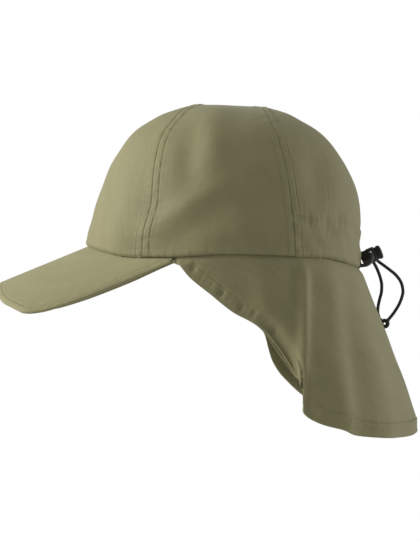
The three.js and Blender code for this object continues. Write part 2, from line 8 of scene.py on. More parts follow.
import bmesh
import bpy
import numpy as np
from mathutils.kdtree import KDTree
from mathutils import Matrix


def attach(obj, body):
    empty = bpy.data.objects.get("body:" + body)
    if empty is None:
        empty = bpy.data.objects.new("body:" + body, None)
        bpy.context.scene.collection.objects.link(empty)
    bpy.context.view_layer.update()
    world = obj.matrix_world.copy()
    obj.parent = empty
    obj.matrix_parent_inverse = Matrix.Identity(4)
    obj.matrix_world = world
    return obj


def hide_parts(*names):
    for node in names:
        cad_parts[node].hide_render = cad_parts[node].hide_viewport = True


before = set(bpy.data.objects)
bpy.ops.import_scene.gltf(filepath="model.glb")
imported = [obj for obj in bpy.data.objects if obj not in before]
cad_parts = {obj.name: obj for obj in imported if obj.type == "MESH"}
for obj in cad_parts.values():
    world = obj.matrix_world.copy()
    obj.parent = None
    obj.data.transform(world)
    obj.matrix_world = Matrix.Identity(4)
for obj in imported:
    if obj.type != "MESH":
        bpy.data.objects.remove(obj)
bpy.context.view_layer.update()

# Camera
# It stands level at the wearer's left, far enough off that the cap shows almost flat.
camera_distance = 1.6
camera_aim = (-0.01073, -0.01036)  # along Y and Z
picture_height = 0.3996  # what the picture spans at the middle of the cap
camera_data = bpy.data.cameras.new("camera")
camera_data.lens = camera_data.sensor_width * camera_distance / picture_height
camera = bpy.data.objects.new("camera", camera_data)
camera.location = (camera_distance, *camera_aim)
camera.rotation_euler = (math.radians(90), 0, math.radians(90))
bpy.context.scene.collection.objects.link(camera)
bpy.context.scene.camera = camera

# Studio
# A pale floor in an even white room, with one broad soft lamp high before the peak and a weaker
# one behind the flap. The cap is held up over the floor, as on a head.
room_light = 0.33
floor_drop = 0.55
floor_size = 5

world = bpy.data.worlds.new("room")
world.use_nodes = True
bpy.context.scene.world = world
room = world.node_tree
background = room.nodes["Background"]
background.inputs["Color"].default_value = (1, 1, 1, 1)
seen = room.nodes.new("ShaderNodeLightPath")
brightness = room.nodes.new("ShaderNodeMapRange")
brightness.inputs["To Min"].default_value = room_light
brightness.inputs["To Max"].default_value = 1
room.links.new(brightness.inputs["Value"], seen.outputs["Is Camera Ray"])
room.links.new(background.inputs["Strength"], brightness.outputs["Result"])
bpy.context.scene.view_settings.view_transform = "Standard"


def lamp(name, place, size, power):
    """A square soft lamp that shines at the middle of the cap."""
    light = bpy.data.lights.new(name, "AREA")
    light.size = size
    light.energy = power
    holder = bpy.data.objects.new(name, light)
    holder.location = place
    way = holder.location.copy()
    way.negate()
    holder.rotation_euler = way.to_track_quat("-Z", "Y").to_euler()
    bpy.context.scene.collection.objects.link(holder)


lamp("front_lamp", (0.15, -2.2, 0.95), 1.3, 58)
lamp("back_lamp", (-0.4, 2.2, 0.4), 1.3, 19)

bpy.ops.mesh.primitive_plane_add(size=floor_size, location=(0, 0, -floor_drop))
floor = bpy.context.object
floor.name = "floor"
floor_finish = bpy.data.materials.new("pale_floor")
floor_finish.use_nodes = True
floor_shader = floor_finish.node_tree.nodes["Principled BSDF"]
floor_shader.inputs["Base Color"].default_value = (0.6, 0.6, 0.6, 1)
floor_shader.inputs["Roughness"].default_value = 0.9
floor.data.materials.append(floor_finish)

# Drawcord
# Two strands of round elastic with a braided cover. They leave a buttonhole in the back of the
# crown, run side by side through the cord lock and hang down to one knot.
cord_radius = 0.0012
cord_sides = 16
strand_left = [
    (0.0152, 0.0996, -0.007),
    (0.0152, 0.1022, -0.0068),
    (0.0152, 0.1048, -0.0057),
    (0.0148, 0.1067, -0.0038),
    (0.0134, 0.1078, -0.0012),
    (0.0112, 0.1081, 0.0008),
    (0.0084, 0.10813, 0.00172),
    (0.004, 0.10813, 0.00173),
    (-0.004, 0.10813, 0.00173),
    (-0.0084, 0.10813, 0.00172),
    (-0.0116, 0.1088, 0.0008),
    (-0.0136, 0.1106, -0.0006),
    (-0.0146, 0.113, -0.0023),
    (-0.0149, 0.1156, -0.0044),
    (-0.015, 0.1189, -0.0068),
    (-0.015, 0.1237, -0.0104),
    (-0.015, 0.1281, -0.0141),
    (-0.015, 0.1319, -0.0194),
    (-0.015, 0.1334, -0.0258),
    (-0.015, 0.1326, -0.0306),
    (-0.015, 0.1304, -0.0362),
    (-0.015, 0.1267, -0.0422),
    (-0.015, 0.1225, -0.04745),
]
strand_right = [
    (0.0125, 0.0997, -0.0072),
    (0.0125, 0.1024, -0.0071),
    (0.0125, 0.1051, -0.0063),
    (0.0121, 0.1071, -0.0048),
    (0.0108, 0.1086, -0.0025),
    (0.0084, 0.10915, -0.00083),
    (0.004, 0.10915, -0.00077),
    (-0.004, 0.10915, -0.00077),
    (-0.0084, 0.10915, -0.00083),
    (-0.0109, 0.1101, -0.0029),
    (-0.0118, 0.1115, -0.0052),
    (-0.0122, 0.1132, -0.0082),
    (-0.0126, 0.1148, -0.0118),
    (-0.013, 0.1164, -0.0164),
    (-0.0136, 0.1174, -0.0212),
    (-0.0142, 0.1172, -0.0272),
    (-0.0146, 0.116, -0.032),
    (-0.0149, 0.1149, -0.0372),
    (-0.015, 0.1146, -0.042),
    (-0.015, 0.1155, -0.0456),
    (-0.015, 0.11635, -0.04755),
]


def smooth_route(points, steps):
    """Close points of a smooth curve through the points, with so many steps from each to the next."""
    p = np.array(points, float)
    p = np.vstack([2 * p[0] - p[1], p, 2 * p[-1] - p[-2]])
    t = np.linspace(0, 1, steps, endpoint=False)[:, None]
    spans = []
    for before, start, end, after in zip(p, p[1:], p[2:], p[3:]):
        leave = (end - before) / 2
        arrive = (after - start) / 2
        bend = t * t * (3 - 2 * t)
        span = start * (1 - bend) + end * bend
        spans.append(span + leave * t * (1 - t) ** 2 - arrive * t * t * (1 - t))
    return np.vstack([*spans, p[-2]])


def unit(vectors):
    """The vectors at length 1. One without length stays as it is."""
    length = np.linalg.norm(vectors, axis=-1, keepdims=True)
    return vectors / np.where(length < 1e-12, 1, length)


def run(points):
    """How far along its line each point lies."""
    return np.append(0, np.cumsum(np.linalg.norm(np.diff(points, axis=0), axis=1)))


def sleeve(name, rings, measures, finish, body="cap", slot="cloth"):
    """A closed mesh through a row of closed rings, each end zipped flat. The measures are lengths
    on the real material, across and along, and become the UV map."""
    count, around = rings.shape[:2]
    faces = []
    marks = []
    for i in range(count - 1):
        for j in range(around):
            k = (j + 1) % around
            faces.append((i * around + j, (i + 1) * around + j, (i + 1) * around + k, i * around + k))
        square = (measures[i, :-1], measures[i + 1, :-1], measures[i + 1, 1:], measures[i, 1:])
        marks.append(np.stack(square, axis=1).reshape(-1, 2))
    for i in (0, count - 1):
        for j in range(around // 2 - 1):
            corners = (j, j + 1, around - 2 - j, around - 1 - j)
            faces.append(tuple(i * around + k for k in corners))
            marks.append(measures[i, list(corners)])
    mesh = bpy.data.meshes.new(name)
    mesh.from_pydata(rings.reshape(-1, 3).tolist(), [], faces)
    layer = mesh.uv_layers.new(name="measures")
    layer.data.foreach_set("uv", np.vstack(marks).astype(np.float32).ravel())
    work = bmesh.new()
    work.from_mesh(mesh)
    bmesh.ops.remove_doubles(work, verts=work.verts, dist=1e-7)
    bmesh.ops.recalc_face_normals(work, faces=work.faces)
    work.to_mesh(mesh)
    work.free()
    mesh.shade_smooth()
    mesh.materials.append(finish)
    piece = bpy.data.objects.new(name, mesh)
    bpy.context.scene.collection.objects.link(piece)
    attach(piece, body)
    return piece


def tube_rings(route, radius, sides):
    """Rings of points round a route, turned as little as it lets them, and their measures."""
    along = unit(np.gradient(route, axis=0))
    side = unit(np.cross(along[0], (0.3, 0.2, 0.9)))
    turns = np.linspace(0, 2 * np.pi, sides + 1)
    rings = []
    for place, way in zip(route, along):
        side = unit(side - way * side.dot(way))
        up = np.cross(way, side)
        rings.append(place + radius * (np.outer(np.cos(turns[:-1]), side) + np.outer(np.sin(turns[:-1]), up)))
    measures = np.empty((len(route), sides + 1, 2))
    measures[:, :, 0] = turns * radius
    measures[:, :, 1] = run(route)[:, None]
    return np.array(rings), measures


class Wire:
    """One output socket of a material, so that its maths reads as Python."""

    def __init__(self, tree, socket):
        self.tree = tree
        self.socket = socket

    def make(self, kind, settings=None, **values):
        """A node of a kind, with its settings, and values or wires for its sockets. A socket that
        shares its name with others is given as s0, s1 and so on."""
        node = self.tree.nodes.new("ShaderNode" + kind)
        for name, value in (settings or {}).items():
            setattr(node, name, value)
        for name, value in values.items():
            number = name[1:]
            key = int(number) if name[0] == "s" and number.isdigit() else name.replace("_", " ")
            socket = node.inputs[key]
            if isinstance(value, Wire):
                self.tree.links.new(socket, value.socket)
            else:
                socket.default_value = value
        return Wire(self.tree, node.outputs[0])

    def maths(self, operation, *values):
        named = {f"s{n}": value for n, value in enumerate(values)}
        return self.make("Math", {"operation": operation}, **named)

    def __add__(self, other):
        return self.maths("ADD", self, other)

    __radd__ = __add__

    def __sub__(self, other):
        return self.maths("SUBTRACT", self, other)

    def __rsub__(self, other):
        return self.maths("SUBTRACT", other, self)

    def __mul__(self, other):
        return self.maths("MULTIPLY", self, other)

    __rmul__ = __mul__

    def sine(self):
        return self.maths("SINE", self)

    def blend(self, dark, light):
        """The colour between two that this wire's number asks for."""
        return self.make("Mix", {"data_type": "RGBA"}, s0=self, s6=dark, s7=light).output(2)

    def output(self, number):
        return Wire(self.tree, self.socket.node.outputs[number])


def colour(red, green, blue):
    """An sRGB colour, 0 to 255, as the shader's own linear one."""
    linear = [c / 255 / 12.92 if c <= 10 else ((c / 255 + 0.055) / 1.055) ** 2.4 for c in (red, green, blue)]
    return (*linear, 1)


def new_finish(name, **settings):
    """A material with its shader's own values, that shader, and a wire to start maths from."""
    material = bpy.data.materials.new(name)
    material.use_nodes = True
    tree = material.node_tree
    shader = tree.nodes["Principled BSDF"]
    for socket, value in settings.items():
        shader.inputs[socket.replace("_", " ")].default_value = value
    return material, shader, Wire(tree, None)


def lay_on(shader, start, **wires):
    """Links wires to a shader's sockets."""
    for socket, wire in wires.items():
        start.tree.links.new(shader.inputs[socket.replace("_", " ")], wire.socket)


def braid_finish():
    """Black-brown elastic, its cover braided from two sets of yarns that run round it crosswise."""
    yarn = 0.00047  # from one yarn to the next, round the cord
    material, shader, start = new_finish(
        "braided_elastic", Roughness=0.62, Sheen_Weight=0.25, Sheen_Roughness=0.5
    )
    measures = start.make("UVMap", {"uv_map": "measures"})
    split = start.make("SeparateXYZ", Vector=measures)
    around = split.output(0) * (2 * math.pi / yarn)
    along = split.output(1) * (math.pi / yarn)
    crossing = (around + along).sine() * (around - along).sine()
    fibre = start.make("TexNoise", Vector=measures, Scale=6000, Detail=3)
    shade = crossing * 0.3 + fibre * 0.5 + 0.2
    lay_on(
        shader,
        start,
        Base_Color=shade.blend(colour(17, 15, 11), colour(42, 37, 29)),
        Normal=start.make("Bump", Height=crossing * 0.5 + fibre * 0.3, Strength=0.6, Distance=0.00012),
    )
    return material


braid = braid_finish()


def strand(name, points, node):
    """One strand of the drawcord, and its route."""
    route = smooth_route(points, 5)
    rings, measures = tube_rings(route, cord_radius, cord_sides)
    piece = sleeve(name, rings, measures, braid, slot="cord")
    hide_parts(node)
    return piece, route


left_strand, left_route = strand("drawcord_strand_left", strand_left, "drawcord_left")
right_strand, right_route = strand("drawcord_strand_right", strand_right, "drawcord_right")

# Knot
# The strands' ends are tied together. The knot is two turns of the same elastic, pulled tight
# round a small eye.
knot_middle = np.array([-0.015, 0.1197, -0.0504])
knot_radius = 0.00225
knot_cord = 0.00148
knot_half_width = 0.00085
knot_start = math.radians(46)
knot_sweep = math.radians(-626)

knot_share = np.linspace(0, 1, 90)
knot_turn = knot_start + knot_sweep * knot_share
knot_route = knot_middle + np.stack(
    [
        knot_half_width * np.cos(np.pi * knot_share),
        knot_radius * np.cos(knot_turn),
        knot_radius * np.sin(knot_turn),
    ],
    axis=1,
)
knot_route = np.vstack([left_route[-1], knot_route, right_route[-1]])
knot = sleeve("drawcord_knot_tied", *tube_rings(knot_route, knot_cord, cord_sides), braid, slot="cord")
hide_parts("drawcord_knot")

# Crown
# Three panels of one light woven cloth, sewn together along two seams that cross the head. Each
# seam is pressed open and topstitched on both sides, and the back panel's lower edge is a casing
# for the drawcord.
crown_height = 0.1113
crown_front = 0.102
crown_back = 0.1015
crown_half_width = 0.084
crown_fall = 0.0039  # how much lower the crown sits at its back reach than at the middle
crown_tilt = crown_fall / crown_back
hub = np.array([0, 0, 0.18 * crown_height])
panel_wall = 0.0012
panel_gap = 0.00006
edge_gap = 0.00035
row_offset = 0.0055  # from a seam to its row of topstitching
allowance = 0.0062  # the cloth turned under beside a seam
casing_height = 0.028
buttonhole_middle = (0.01385, 0.0996, -0.0115)
buttonhole_size = (0.0057, 0.0128, 0.012)
cut_rounding = 0.0006
# Heights and depths of the cloth's low relief
allowance_rise = 0.0003
seam_groove = 0.0004
row_groove = 0.00045
row_wave = 0.0003
seam_pucker = 0.0006
edge_roll = 0.0003
edge_groove = 0.0007
edge_pucker = 0.00022
casing_rise = 0.0003
casing_groove = 0.0003
casing_wave = 0.0002
casing_pucker = 0.0004
casing_gather = 0.0007
wide_crumple = 0.0005
fine_crumple = 0.00009


def table(names, *rows):
    """A table's columns by their names."""
    return dict(zip(names.split(), np.array(rows, float).T))


def by_depth(rows):
    """Adds the depth below the top, in which a table of heights runs smoothly."""
    rows["depth"] = np.sqrt(1 - rows["height"])
    return rows


# Heights as shares of crown_height, and the reach there as shares of the crown's three sizes
crown_sections = by_depth(
    table(
        "height front back side",
        (1, 0.2, 0.26, 0),
        (0.99, 0.235, 0.345, 0.2),
        (0.96, 0.345, 0.465, 0.375),
        (0.92, 0.463, 0.552, 0.505),
        (0.86, 0.572, 0.665, 0.63),
        (0.78, 0.675, 0.765, 0.74),
        (0.69, 0.75, 0.842, 0.82),
        (0.59, 0.812, 0.902, 0.885),
        (0.47, 0.869, 0.958, 0.935),
        (0.35, 0.915, 0.988, 0.968),
        (0.2, 0.963, 0.99, 0.99),
        (0.12, 0.988, 0.984, 1),
        (0.04, 1.002, 0.996, 1),
        (0, 1.002, 0.993, 1),
    )
)
# The seams that cross the crown from ear to ear: places as shares of crown_front or crown_back
front_seam = by_depth(
    table(
        "height reach",
        (1, 0.2),
        (0.996, 0.205),
        (0.98, 0.236),
        (0.94, 0.305),
        (0.875, 0.36),
        (0.79, 0.425),
        (0.7, 0.463),
        (0.6, 0.484),
        (0.5, 0.498),
        (0.31, 0.515),
        (0.2, 0.54),
        (0.09, 0.566),
        (0, 0.575),
    )
)
back_seam = by_depth(
    table(
        "height reach",
        (1, 0.26),
        (0.996, 0.262),
        (0.98, 0.275),
        (0.93, 0.302),
        (0.86, 0.336),
        (0.78, 0.37),
        (0.7, 0.395),
        (0.62, 0.418),
        (0.53, 0.436),
        (0.39, 0.457),
        (0.2, 0.478),
        (0, 0.49),
    )
)
# The lower edge: places as shares of crown_front or crown_back, heights of crown_height
crown_edge = table(
    "place height",
    (-1, 0.069),
    (-0.91, 0.04),
    (-0.8, 0.014),
    (-0.7, -0.005),
    (-0.57, -0.012),
    (-0.37, -0.013),
    (-0.07, 0.004),
    (0.1, 0.004),
    (0.45, -0.005),
    (0.66, -0.014),
    (0.74, -0.019),
    (0.85, -0.041),
    (0.94, -0.066),
    (1, -0.082),
)
# Soft dents of the sides: places as shares of crown_front or crown_back, heights and sizes of
# crown_height, the turn of the long way from upright in degrees, depths of crown_half_width
crown_dents = [
    dict(place=-0.25, height=0.66, long=0.17, wide=0.085, turn=6, depth=0.03),
    dict(place=-0.08, height=0.84, long=0.24, wide=0.1, turn=0, depth=-0.03),
    dict(place=-0.31, height=0.285, long=0.3, wide=0.075, turn=60, depth=-0.034),
    dict(place=-0.26, height=0.13, long=0.2, wide=0.07, turn=62, depth=0.014),
    dict(place=0.4, height=0.56, long=0.36, wide=0.15, turn=8, depth=0.018),
    dict(place=0.2, height=0.2, long=0.22, wide=0.08, turn=82, depth=-0.014),
    dict(place=-0.74, height=0.2, long=0.22, wide=0.09, turn=6, depth=-0.03),
    dict(place=0.66, height=0.56, long=0.26, wide=0.1, turn=-12, depth=0.045),
    dict(place=0.84, height=0.34, long=0.2, wide=0.1, turn=0, depth=-0.018),
]


def smooth(rows, along, column, at):
    """The smooth value of a table's column at places along another column."""
    x, y = rows[along], rows[column]
    low = np.maximum(np.arange(len(x)) - 1, 0)
    high = np.minimum(np.arange(len(x)) + 1, len(x) - 1)
    slope = (y[high] - y[low]) / (x[high] - x[low])
    at = np.clip(at, x[0], x[-1])
    i = np.clip(np.searchsorted(x, at) - 1, 0, len(x) - 2)
    span = x[i + 1] - x[i]
    t = (at - x[i]) / span
    bend = t * t * (3 - 2 * t)
    ends = y[i] * (1 - bend) + y[i + 1] * bend
    return ends + slope[i] * span * t * (1 - t) ** 2 - slope[i + 1] * span * t * t * (1 - t)


def crown_reach(share):
    """The crown's reach to the front, back and side at a height."""
    depth = np.sqrt(1 - np.clip(share, 0, 1))
    front, back, side = (smooth(crown_sections, "depth", c, depth) for c in ("front", "back", "side"))
    return crown_front * front, crown_back * back, crown_half_width * np.maximum(side, 1e-9)


def on_crown(toward):
    """The points of the crown's smooth surface that lie in the direction of points."""
    way = unit(toward - hub)
    near = np.zeros(way.shape[:-1])
    far = np.full(way.shape[:-1], 2 * (crown_front + crown_height))
    for _ in range(40):
        middle = (near + far) / 2
        p = hub + way * middle[..., None]
        share = (p[..., 2] + crown_tilt * p[..., 1]) / crown_height
        front, back, side = crown_reach(share)
        fore = np.where(p[..., 1] < 0, front, back)
        inside = (share < 1) & ((p[..., 0] / side) ** 2 + (p[..., 1] / fore) ** 2 < 1)
        near = np.where(inside, middle, near)
        far = np.where(inside, far, middle)
    return hub + way * near[..., None]


def edge_point(turn):
    """The crown's lower edge at turns from the front, where 1 is the back."""
    turn = np.asarray(turn, float)
    before = np.abs(turn) < 0.5
    front, back, side = crown_reach(0.0)
    y = -np.cos(turn * np.pi) * np.where(before, front, back)
    height = smooth(crown_edge, "place", "height", y / np.where(before, crown_front, crown_back))
    return np.stack([side * np.sin(turn * np.pi), y, height * crown_height], axis=-1)


def turn_at(y):
    """The turn at which the lower edge lies at a place along Y."""
    front, back, _ = crown_reach(0.0)
    return math.acos(-y / (front if y < 0 else back)) / math.pi


def seam_point(seam, facing, share):
    """A seam's points, from the right ear at -1 over the top to the left ear at 1."""
    fore = crown_front if facing < 0 else crown_back
    foot = facing * seam["reach"][-1] * fore
    lowest = (edge_point(turn_at(foot))[2] + crown_tilt * foot) / crown_height
    depth = np.abs(share) * math.sqrt(1 - lowest)
    height = 1 - depth * depth
    y = facing * fore * smooth(seam, "depth", "reach", depth)
    front, back, side = crown_reach(height)
    across = 1 - (y / (front if facing < 0 else back)) ** 2
    x = np.sign(share) * side * np.sqrt(np.maximum(across, 0))
    return np.stack([x, y, height * crown_height - crown_tilt * y], axis=-1)


def seam_line(seam, facing, offset, steps):
    """A seam, or a line beside it, as points at even steps. An offset above 0 lies behind it."""
    stride = 0.02
    share = np.linspace(-1, 1, 8 * steps)
    here = seam_point(seam, facing, share)
    before = seam_point(seam, facing, np.maximum(share - stride, -1))
    after = seam_point(seam, facing, np.minimum(share + stride, 1))
    across = unit(np.cross(here - hub, after - before))
    return even_steps(on_crown(here + across * offset), steps)


def even_steps(line, steps):
    """The same line with its points at even distances."""
    length = run(line)
    places = np.linspace(0, length[-1], steps + 1)
    return np.stack([np.interp(places, length, line[:, k]) for k in range(3)], axis=1)


def near_line(points, line):
    """How far the points are from a line, how far along it they are nearest, and the place there."""
    steps = int(run(line)[-1] / 0.0002)
    close = even_steps(line, steps)
    tree = KDTree(len(close))
    for number, place in enumerate(close):
        tree.insert(place, number)
    tree.balance()
    found = [tree.find(p) for p in points.reshape(-1, 3)]
    away = np.array([f[2] for f in found]).reshape(points.shape[:-1])
    number = np.array([f[1] for f in found]).reshape(points.shape[:-1])
    return away, run(close)[number], close[number]


def bell(distance, width):
    return np.exp(-((distance / width) ** 2))


def ramp(value, low, high):
    """0 below the first value, 1 above the second, and smooth between."""
    t = np.clip((value - low) / (high - low), 0, 1)
    return t * t * (3 - 2 * t)


def crumple(first, second, size):
    """An uneven field of soft hollows about so wide, from -1 to 1, over two measures in metres."""
    ways = ((0.8, 0.6, 1, 0), (-0.5, 0.87, 1.3, 1.3), (0.2, 0.98, 0.8, 2.1), (0.97, -0.25, 1.7, 0.4))
    waves = [np.sin(2 * np.pi * (a * first + b * second) / (size * c) + d) for a, b, c, d in ways]
    return sum(waves) / len(waves)


def puckers(along, lengths, phase):
    """Uneven waves along a stitched line, from -1 to 1."""
    waves = [np.sin(2 * np.pi * along / length + phase * (k + 1)) for k, length in enumerate(lengths)]
    return sum(waves) / len(waves)


seam_steps = 240
front_line = seam_line(front_seam, -1, 0, seam_steps)
back_line = seam_line(back_seam, 1, 0, seam_steps)
edge_line = edge_point(np.linspace(-1, 1, 600))


lock_dent = 0.002  # how far the cord lock presses the cloth in at the back
lock_dent_width = 0.0065
lock_dent_height = 0.0013


def lock_press(points):
    away = np.hypot(points[..., 0], points[..., 2] - lock_dent_height)
    return lock_dent * bell(away, lock_dent_width) * (points[..., 1] > 0)


def dent_depth(points):
    """How far the dents push the cloth in, seen from the side."""
    depth = 0
    for dent in crown_dents:
        ahead = points[..., 1] - dent["place"] * (crown_front if dent["place"] < 0 else crown_back)
        above = points[..., 2] - dent["height"] * crown_height
        turn = math.radians(dent["turn"])
        along = (above * math.cos(turn) + ahead * math.sin(turn)) / (dent["long"] * crown_height)
        across = (ahead * math.cos(turn) - above * math.sin(turn)) / (dent["wide"] * crown_height)
        depth = depth + dent["depth"] * np.exp(-along * along - across * across)
    return depth * np.abs(points[..., 0])


def seam_relief(points, line, phase):
    """The raised allowance beside a seam, the groove of the seam and of its topstitching, and the
    puckers that the stitches draw. The row behind the seam is drawn tighter."""
    away, along, nearest = near_line(points, line)
    behind = points[..., 1] > nearest[..., 1]
    tight = np.where(behind, 1, 0.6)
    wave = puckers(along, (0.0041, 0.0063, 0.0099, 0.0157), phase + behind)
    relief = allowance_rise * (1 - ramp(away, allowance - 0.0005, allowance + 0.0011))
    relief -= seam_groove * bell(away, 0.0005)
    relief -= tight * (row_groove + row_wave * wave) * bell(away - row_offset, 0.0007)
    return relief + seam_pucker * tight * wave * bell(away - 0.75 * row_offset, 0.003)


def edge_relief(away, along):
    """The crown's lower edge, turned under and drawn in by its stitches."""
    wave = puckers(along, (0.0038, 0.0061, 0.0107), 1.3)
    relief = edge_roll * bell(away - 0.0025, 0.0018) - edge_groove * bell(away, 0.0009)
    return relief + edge_pucker * wave * bell(away - 0.001, 0.004)


def casing_relief(away, along):
    """The casing's double cloth, its upper stitch line and the gathers that the cord draws."""
    relief = casing_rise * (1 - ramp(away, casing_height - 0.001, casing_height + 0.001))
    tight = puckers(along, (0.0052, 0.0083, 0.0131), 0.7)
    loose = crumple(along, 0.8 * away, 0.013)
    relief -= (casing_groove + casing_wave * tight) * bell(away - casing_height, 0.0008)
    relief += casing_pucker * tight * bell(away - 0.95 * casing_height, 0.0045)
    return relief + casing_gather * loose * ramp(away, 0, 0.008) * (1 - ramp(away, 0.026, 0.042))


def crown_face(toward, cased=False):
    """The crown's cloth in the direction of points, with its dents, seams and puckers."""
    base = on_crown(toward)
    relief = -dent_depth(base) - lock_press(base)
    relief += wide_crumple * crumple(base[..., 1], base[..., 2] + base[..., 0], 0.034)
    relief += fine_crumple * crumple(base[..., 2], 0.7 * base[..., 1], 0.014)
    relief += seam_relief(base, front_line, 0.4)
    relief += seam_relief(base, back_line, 2.1)
    away, along, _ = near_line(base, edge_line)
    relief += edge_relief(away, along)
    if cased:
        relief += casing_relief(away, along)
    return base + unit(base - hub) * relief[..., None]


def grid_normals(grid, outward):
    """The normals of a grid of points, on the side that the outward vectors face. Where the grid
    is pinched to a point, the outward vector itself."""
    down = np.gradient(grid, axis=0)
    along = np.gradient(grid, axis=1)
    normal = np.cross(down, along)
    normal *= np.sign((normal * outward).sum(axis=-1, keepdims=True))
    pinched = np.linalg.norm(normal, axis=-1, keepdims=True) < 1e-12
    return unit(np.where(pinched, unit(outward), unit(normal)))


def cloth_rings(outer, outward, wall, rim):
    """Rings for a sleeve: the outer face of a sheet of cloth, a rounded rim of so many points past
    its last column, and the inner face behind it, each with the cloth's own measures."""
    inner = outer - grid_normals(outer, outward) * wall
    middle = (outer[:, -1] + inner[:, -1]) / 2
    arm = (outer[:, -1] - inner[:, -1]) / 2
    beyond = unit(outer[:, -1] - outer[:, -2]) * np.linalg.norm(arm, axis=-1, keepdims=True)
    turns = np.pi * np.arange(1, rim + 1) / (rim + 1)
    edge = [(middle + arm * math.cos(t) + beyond * math.sin(t))[:, None] for t in turns]
    rings = np.concatenate([outer, *edge, inner[:, ::-1]], axis=1)
    across = np.array([run(row) for row in outer])
    along = np.array([run(column) for column in outer.transpose(1, 0, 2)]).T
    face = np.stack([across, along], axis=-1)
    rims = np.repeat(face[:, -1:], rim, axis=1)
    return rings, np.concatenate([face, rims, face[:, ::-1], face[:, :1]], axis=1)


# Distances from a seam, and from the lower edge, where a panel's rows have points
beside_seam = np.array([0, 2, 4, 6, 9, 13, 19, 27, 36, 43, 48, 52, 55, 58, 62, 67, 73, 81, 92]) * 1e-4
above_edge = np.array([0, 4, 8, 12, 17, 23, 30, 39, 50]) * 1e-4


def row_shares(length, first, last, middles):
    """Where a row's points lie, as shares of its length: close at its two ends, even between."""
    fit = np.minimum(1, 0.4 * length / max(first[-1], last[-1]))[:, None]
    length = length[:, None]
    start = first * fit / length
    end = 1 - last[::-1] * fit / length
    even = np.linspace(0, 1, middles + 2)[1:-1]
    middle = start[:, -1:] + (end[:, :1] - start[:, -1:]) * even
    return np.concatenate([start, middle, end], axis=1)


def rows_between(start, end, last, middles):
    """Rows of points between two lines of as many points, and their shares of the way."""
    length = np.maximum(np.linalg.norm(end - start, axis=1), 1e-9)
    share = row_shares(length, beside_seam, last, middles)[..., None]
    return start[:, None] * (1 - share) + end[:, None] * share, share


def crown_panel(name, node, toward, rim, cased=False):
    """A panel in the direction of rows of points, as one closed sheet of cloth."""
    face = crown_face(toward, cased)
    piece = sleeve(name, *cloth_rings(face, face - hub, panel_wall, rim), cloth)
    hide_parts(node)
    return piece


def cut_box(piece, middle, size):
    """Cuts a box with rounded edges out of a piece."""
    bpy.ops.object.select_all(action="DESELECT")
    bpy.ops.mesh.primitive_cube_add(size=1, location=middle)
    cutter = bpy.context.object
    cutter.scale = size
    rounded = cutter.modifiers.new("rounded", "BEVEL")
    rounded.width = cut_rounding
    rounded.segments = 3
    cut = piece.modifiers.new("opening", "BOOLEAN")
    cut.object = cutter
    cut.solver = "EXACT"
    bpy.context.view_layer.objects.active = piece
    bpy.ops.object.modifier_apply(modifier=cut.name)
    bpy.data.objects.remove(cutter)


def cloth_finish(name, dark, light):
    """Olive cloth of fine plain weave with a dry, slightly silky face. Its yarns are uneven, and
    the dye takes a little lighter on some of them."""
    yarn = 0.00042
    material, shader, start = new_finish(
        name, Roughness=0.66, Sheen_Weight=0.14, Sheen_Roughness=0.45, Specular_IOR_Level=0.3
    )
    measures = start.make("UVMap", {"uv_map": "measures"})
    split = start.make("SeparateXYZ", Vector=measures)
    warp = (split.output(0) * (2 * math.pi / yarn)).sine()
    weft = (split.output(1) * (2 * math.pi / yarn)).sine()
    weave = warp * weft
    stretch_warp = start.make("Mapping", Vector=measures, Scale=(2400, 90, 1))
    stretch_weft = start.make("Mapping", Vector=measures, Scale=(90, 2400, 1))
    warp_slub = start.make("TexNoise", Vector=stretch_warp, Scale=1, Detail=2)
    weft_slub = start.make("TexNoise", Vector=stretch_weft, Scale=1, Detail=2)
    dye = start.make("TexNoise", Vector=measures, Scale=38, Detail=4)
    crumple = start.make("TexNoise", Vector=measures, Scale=150, Detail=3)
    shade = weave * 0.08 + warp_slub * 0.3 + weft_slub * 0.3 + dye * 0.5 - 0.05
    relief = start.make("Bump", Height=weave * 0.5 + warp_slub + weft_slub, Strength=0.35, Distance=0.00008)
    soft = start.make("Bump", Height=crumple, Normal=relief, Strength=0.35, Distance=0.0008)
    lay_on(
        shader,
        start,
        Base_Color=shade.blend(dark, light),
        Normal=soft,
    )
    return material


cloth = cloth_finish("olive_cloth", colour(128, 123, 86), colour(160, 155, 114))


def foot_turn(seam, facing):
    return turn_at(facing * seam["reach"][-1] * (crown_front if facing < 0 else crown_back))


front_turn = foot_turn(front_seam, -1)
back_turn = foot_turn(back_seam, 1)
rim_points = 3

start = seam_line(front_seam, -1, -panel_gap / 2, seam_steps)
end = edge_point(np.linspace(-front_turn, front_turn, seam_steps + 1))
end[[0, -1]] = start[[0, -1]]
toward, _ = rows_between(start, end, above_edge, 95)
crown_front_panel = crown_panel("crown_front_panel", "front_panel", toward, rim_points)

start = seam_line(back_seam, 1, panel_gap / 2, seam_steps)
end = edge_point(np.linspace(-back_turn, back_turn - 2, seam_steps + 1))
end[[0, -1]] = start[[0, -1]]
toward, _ = rows_between(start, end, above_edge, 125)
crown_back_panel = crown_panel("crown_back_panel", "back_panel", toward, rim_points, cased=True)
# The buttonhole for the strands, open to the casing's lower edge
cut_box(crown_back_panel, buttonhole_middle, buttonhole_size)

